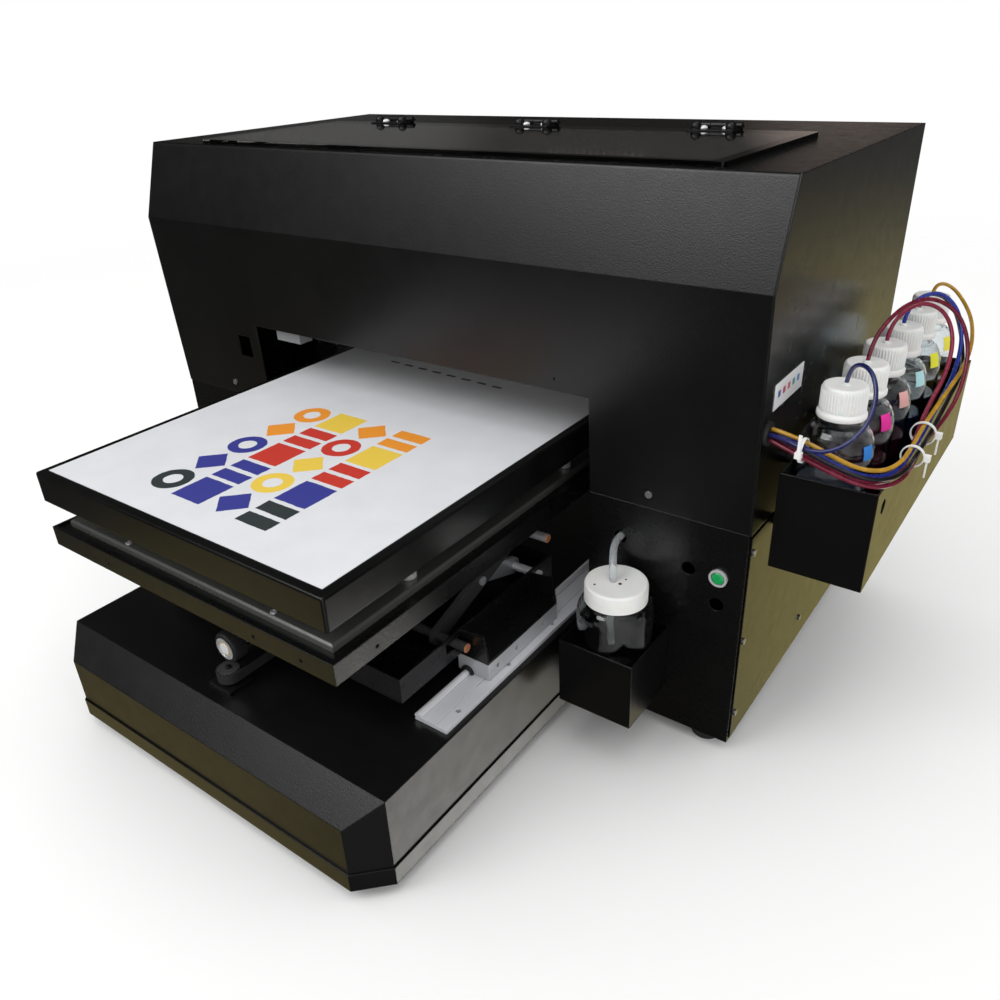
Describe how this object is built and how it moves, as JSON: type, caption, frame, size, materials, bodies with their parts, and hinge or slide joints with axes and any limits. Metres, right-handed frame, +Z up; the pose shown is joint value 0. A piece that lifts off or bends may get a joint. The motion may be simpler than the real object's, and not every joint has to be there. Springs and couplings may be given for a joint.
{
  "type": "flatbed uv printer",
  "caption": "Desktop flatbed UV printer: hood on two towers, table that slides on a base and rises on a scissor lift, ink bottle tray and waste bottle.",
  "frame": {"origin": "middle of the whole printer's outline at floor level, cords left out", "axes": "+X to the side with the ink bottles, -Y to the front where the table comes out, +Z up"},
  "size_m": [0.8738, 0.712, 0.5447],
  "materials": {
    "black_paint": "fine textured powder coat",
    "rubber": "matt",
    "aluminium": "satin anodised",
    "steel": "ground",
    "motor_black": "satin",
    "belt": "matt",
    "pulley": "satin",
    "circuit_board": "satin",
    "black_plastic": "matt",
    "button_green": "glossy",
    "dark_plastic": "matt",
    "pale_plastic": "matt",
    "brass": "machined",
    "white_board": "white coat",
    "head_metal": "satin",
    "tinted_window": "polished, tinted",
    "bottle_plastic": "translucent",
    "waste_plastic": "translucent",
    "white_cap": "satin",
    "tube_dark_blue": "glossy",
    "tube_dark_red": "glossy",
    "tube_red": "glossy",
    "tube_blue": "glossy",
    "tube_black": "glossy",
    "tube_yellow": "glossy",
    "tube_clear": "clear"
  },
  "bodies": {
    "body": {"base_cover": "black_paint", "base_pan": "black_paint", "tower_left_shell": "black_paint", "tower_right_shell": "black_paint", "hood_front": "black_paint", "hood_top": "black_paint", "hood_rear": "black_paint", "side_panels": "black_paint", "ink_tray": "black_paint", "waste_bracket": "black_paint", "feet_and_gland": "rubber", "gantry_frame": "aluminium", "guide_shafts": "steel", "idler_brackets": "steel", "lid_hinge_base": "steel", "fasteners": "steel", "button_bezel": "steel", "table_rails": "steel", "drive_motors": "motor_black", "power_supply": "motor_black", "timing_belts": "belt", "control_board": "circuit_board", "rear_sockets": "black_plastic", "capping_station": "dark_plastic", "height_sensor": "pale_plastic", "ink_bottles": "bottle_plastic", "waste_bottle": "waste_plastic", "bottle_caps": "white_cap", "zip_ties": "white_cap", "ink_tube_dark_blue": "tube_dark_blue", "ink_tube_dark_red": "tube_dark_red", "ink_tube_red": "tube_red", "ink_tube_blue": "tube_blue", "ink_tube_black": "tube_black", "ink_tube_yellow": "tube_yellow", "waste_tube": "tube_clear"},
    "table": {"table_chassis": "black_paint", "guide_blocks": "aluminium", "chassis_rod": "steel"},
    "inner_arms": {"lift_arms_inner": "aluminium"},
    "outer_arms": {"lift_arms_outer": "aluminium"},
    "platform": {"platform_hangers": "aluminium", "table_tray": "black_paint", "locating_plate": "aluminium", "levelling_posts": "steel", "platen_frame": "black_paint", "print_board": "white_board"},
    "nut": {"lift_nut": "brass"},
    "screw": {"lift_screw": "steel", "lift_knob": "black_plastic"},
    "carriage": {"print_carriage": "black_paint", "print_head": "head_metal", "uv_lamp": "head_metal"},
    "lid": {"window_lid": "tinted_window", "lid_hinge_leaves": "steel"},
    "button": {"power_button": "button_green"},
    "front_pulley": {"table_pulley_front": "pulley"},
    "rear_pulley": {"table_pulley_rear": "pulley"},
    "left_pulley": {"carriage_pulley_left": "pulley"},
    "right_pulley": {"carriage_pulley_right": "pulley"}
  },
  "joints": [
    {"name": "table_slide", "type": "slide", "parent": "body", "child": "table", "axis": [0, 1, 0], "range_m": [0, 0.39]},
    {"name": "lift", "type": "hinge", "parent": "table", "child": "inner_arms", "pos_m": [-0.0442, -0.0455, 0.144], "axis": [1, 0, 0], "range_deg": [0, 12]},
    {"name": "outer_arm_turn", "type": "hinge", "parent": "inner_arms", "child": "outer_arms", "pos_m": [-0.0442, -0.1125, 0.167], "axis": [1, 0, 0], "range_deg": [-24.2, 0.1]},
    {"name": "platform_level", "type": "hinge", "parent": "outer_arms", "child": "platform", "pos_m": [-0.0442, -0.0455, 0.19], "axis": [1, 0, 0], "range_deg": [-0.1, 12.1]},
    {"name": "nut_level", "type": "hinge", "parent": "outer_arms", "child": "nut", "pos_m": [-0.0442, -0.1795, 0.144], "axis": [1, 0, 0], "range_deg": [-0.1, 12.1]},
    {"name": "lift_screw_turn", "type": "hinge", "parent": "table", "child": "screw", "pos_m": [-0.0442, -0.3015, 0.144], "axis": [0, 1, 0], "range_deg": [0, 800]},
    {"name": "front_pulley_turn", "type": "hinge", "parent": "body", "child": "front_pulley", "pos_m": [-0.0442, -0.3015, 0.117], "axis": [0, 0, 1], "range_deg": [0, 2030]},
    {"name": "rear_pulley_turn", "type": "hinge", "parent": "body", "child": "rear_pulley", "pos_m": [-0.0442, 0.3105, 0.117], "axis": [0, 0, 1], "range_deg": [0, 2030]},
    {"name": "carriage_slide", "type": "slide", "parent": "body", "child": "carriage", "axis": [-1, 0, 0], "range_m": [0, 0.575]},
    {"name": "left_pulley_turn", "type": "hinge", "parent": "body", "child": "left_pulley", "pos_m": [-0.3702, 0.1405, 0.455], "axis": [0, 1, 0], "range_deg": [0, 3650]},
    {"name": "right_pulley_turn", "type": "hinge", "parent": "body", "child": "right_pulley", "pos_m": [0.2818, 0.1405, 0.455], "axis": [0, 1, 0], "range_deg": [0, 3650]},
    {"name": "lid_hinge", "type": "hinge", "parent": "body", "child": "lid", "pos_m": [-0.0442, 0.217, 0.5395], "axis": [-1, 0, 0], "range_deg": [0, 105]},
    {"name": "button_press", "type": "slide", "parent": "body", "child": "button", "axis": [0, 1, 0], "range_m": [0, 0.002], "stiffness_N_per_m": 400}
  ],
  "couplings": [
    {"joint": "outer_arm_turn", "follows": "lift", "ratio": -2},
    {"joint": "platform_level", "follows": "lift", "ratio": 1},
    {"joint": "nut_level", "follows": "lift", "ratio": 1},
    {"joint": "lift_screw_turn", "follows": "lift", "ratio": 66},
    {"joint": "front_pulley_turn", "follows": "table_slide", "rad_per_m": 90.5},
    {"joint": "rear_pulley_turn", "follows": "table_slide", "rad_per_m": 90.5},
    {"joint": "left_pulley_turn", "follows": "carriage_slide", "rad_per_m": 110.5},
    {"joint": "right_pulley_turn", "follows": "carriage_slide", "rad_per_m": 110.5}
  ]
}
